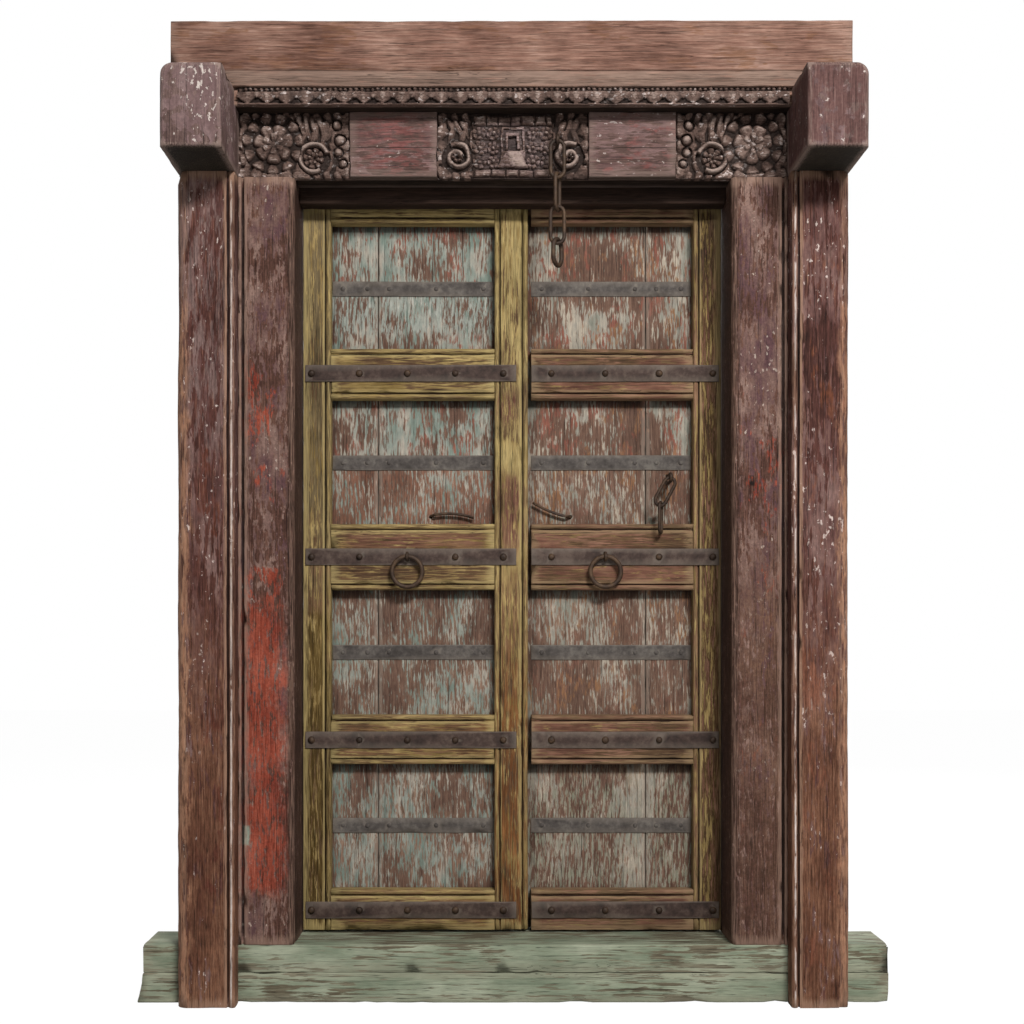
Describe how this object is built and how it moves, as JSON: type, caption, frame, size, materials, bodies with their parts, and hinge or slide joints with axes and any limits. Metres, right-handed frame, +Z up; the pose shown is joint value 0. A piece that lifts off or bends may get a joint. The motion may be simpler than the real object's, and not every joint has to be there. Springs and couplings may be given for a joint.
{
  "type": "double door with frame",
  "caption": "Old carved wooden door with its frame: plank leaves with moulded rails, iron straps and ring pulls, turning on wooden pivots under a carved lintel with a hanging chain",
  "frame": {"origin": "on the ground under the middle of the whole piece", "axes": "+X to the right as seen from the street, +Y into the house, +Z up"},
  "size_m": [1.73, 0.444, 2.242],
  "materials": {
    "post_wood": "worn dark maroon paint on old hardwood",
    "jamb_wood": "purple brown and red paint, rubbed through",
    "carved_wood": "dark carved hardwood, worn pale on its high points",
    "cornice_wood": "bare weathered hardwood",
    "sill_wood": "grey green paint, scuffed",
    "leaf_frame_wood": "yellow ochre paint, worn to brown wood",
    "plank_wood": "pale grey green paint, flaked in streaks over red brown wood",
    "ledge_wood": "bare old hardwood",
    "iron": "forged iron, dull brown black"
  },
  "bodies": {
    "frame": {"chain_staple": "iron", "cornice_board": "cornice_wood", "cornice_moulding": "cornice_wood", "head_rail": "jamb_wood", "left_corbel": "post_wood", "left_jamb": "jamb_wood", "left_post": "post_wood", "lintel_beam": "carved_wood", "right_corbel": "post_wood", "right_jamb": "jamb_wood", "right_post": "post_wood", "sill_base": "sill_wood", "sill_board": "sill_wood"},
    "right_leaf": {"right_bottom_rail": "leaf_frame_wood", "right_bottom_strap": "iron", "right_dome_nails": "iron", "right_fourth_rail": "leaf_frame_wood", "right_fourth_strap": "iron", "right_hanging_stile": "leaf_frame_wood", "right_ledges": "ledge_wood", "right_lock_rail": "leaf_frame_wood", "right_lock_strap": "iron", "right_panel_nails": "iron", "right_panel_straps": "iron", "right_pivot_plank": "plank_wood", "right_ring_staple": "iron", "right_second_rail": "leaf_frame_wood", "right_second_strap": "iron", "right_spike": "iron", "right_top_rail": "leaf_frame_wood", "right_wide_plank": "plank_wood", "hasp_staple": "iron"},
    "left_leaf": {"left_bottom_rail": "leaf_frame_wood", "left_bottom_strap": "iron", "left_dome_nails": "iron", "left_fourth_rail": "leaf_frame_wood", "left_fourth_strap": "iron", "left_hanging_stile": "leaf_frame_wood", "left_ledges": "ledge_wood", "left_lock_rail": "leaf_frame_wood", "left_lock_strap": "iron", "left_panel_nails": "iron", "left_panel_straps": "iron", "left_pivot_plank": "plank_wood", "left_ring_staple": "iron", "left_second_rail": "leaf_frame_wood", "left_second_strap": "iron", "left_spike": "iron", "left_top_rail": "leaf_frame_wood", "left_wide_plank": "plank_wood", "meeting_stile": "leaf_frame_wood"},
    "left_ring": {"left_ring": "iron"},
    "right_ring": {"right_ring": "iron"},
    "chain_link_1": {"chain_link_1": "iron"},
    "chain_link_2": {"chain_link_2": "iron"},
    "chain_link_3": {"chain_link_3": "iron"},
    "chain_end_link": {"chain_end_link": "iron"},
    "hasp_link_1": {"hasp_link_1": "iron"},
    "hasp_link_2": {"hasp_link_2": "iron"}
  },
  "joints": [
    {"name": "right_leaf_hinge", "type": "hinge", "parent": "frame", "child": "right_leaf", "pos_m": [0.483, 0.175, 0.105], "axis": [0, 0, -1], "range_deg": [0, 100]},
    {"name": "left_leaf_hinge", "type": "hinge", "parent": "frame", "child": "left_leaf", "pos_m": [-0.483, 0.175, 0.105], "axis": [0, 0, 1], "range_deg": [0, 85]},
    {"name": "left_ring_hinge", "type": "hinge", "parent": "left_leaf", "child": "left_ring", "pos_m": [-0.2505, 0.108, 1.033], "axis": [-1, 0, 0], "range_deg": [0, 110]},
    {"name": "right_ring_hinge", "type": "hinge", "parent": "right_leaf", "child": "right_ring", "pos_m": [0.22267, 0.108, 1.033], "axis": [-1, 0, 0], "range_deg": [0, 110]},
    {"name": "chain_1_swing", "type": "hinge", "parent": "frame", "child": "chain_link_1", "pos_m": [0.101, -0.034, 1.9678], "axis": [0, 1, 0], "range_deg": [-25, 25]},
    {"name": "chain_2_swing", "type": "hinge", "parent": "chain_link_1", "child": "chain_link_2", "pos_m": [0.101, -0.034, 1.892], "axis": [1, 0, 0], "range_deg": [-20, 20]},
    {"name": "chain_3_swing", "type": "hinge", "parent": "chain_link_2", "child": "chain_link_3", "pos_m": [0.101, -0.034, 1.8166], "axis": [0.342, 0.9397, 0], "range_deg": [-20, 20]},
    {"name": "chain_end_swing", "type": "hinge", "parent": "chain_link_3", "child": "chain_end_link", "pos_m": [0.101, -0.034, 1.7412], "axis": [0.9976, -0.0698, 0], "range_deg": [-20, 20]},
    {"name": "hasp_1_swing", "type": "hinge", "parent": "right_leaf", "child": "hasp_link_1", "pos_m": [0.377, 0.104, 1.2122], "axis": [0, 1, 0], "range_deg": [-28, 20]},
    {"name": "hasp_2_swing", "type": "hinge", "parent": "hasp_link_1", "child": "hasp_link_2", "pos_m": [0.35296, 0.104, 1.15399], "axis": [-1, 0, 0], "range_deg": [0, 30]}
  ],
  "couplings": [
    {"joint": "left_leaf_hinge", "follows": "right_leaf_hinge", "ratio": 0.85}
  ]
}
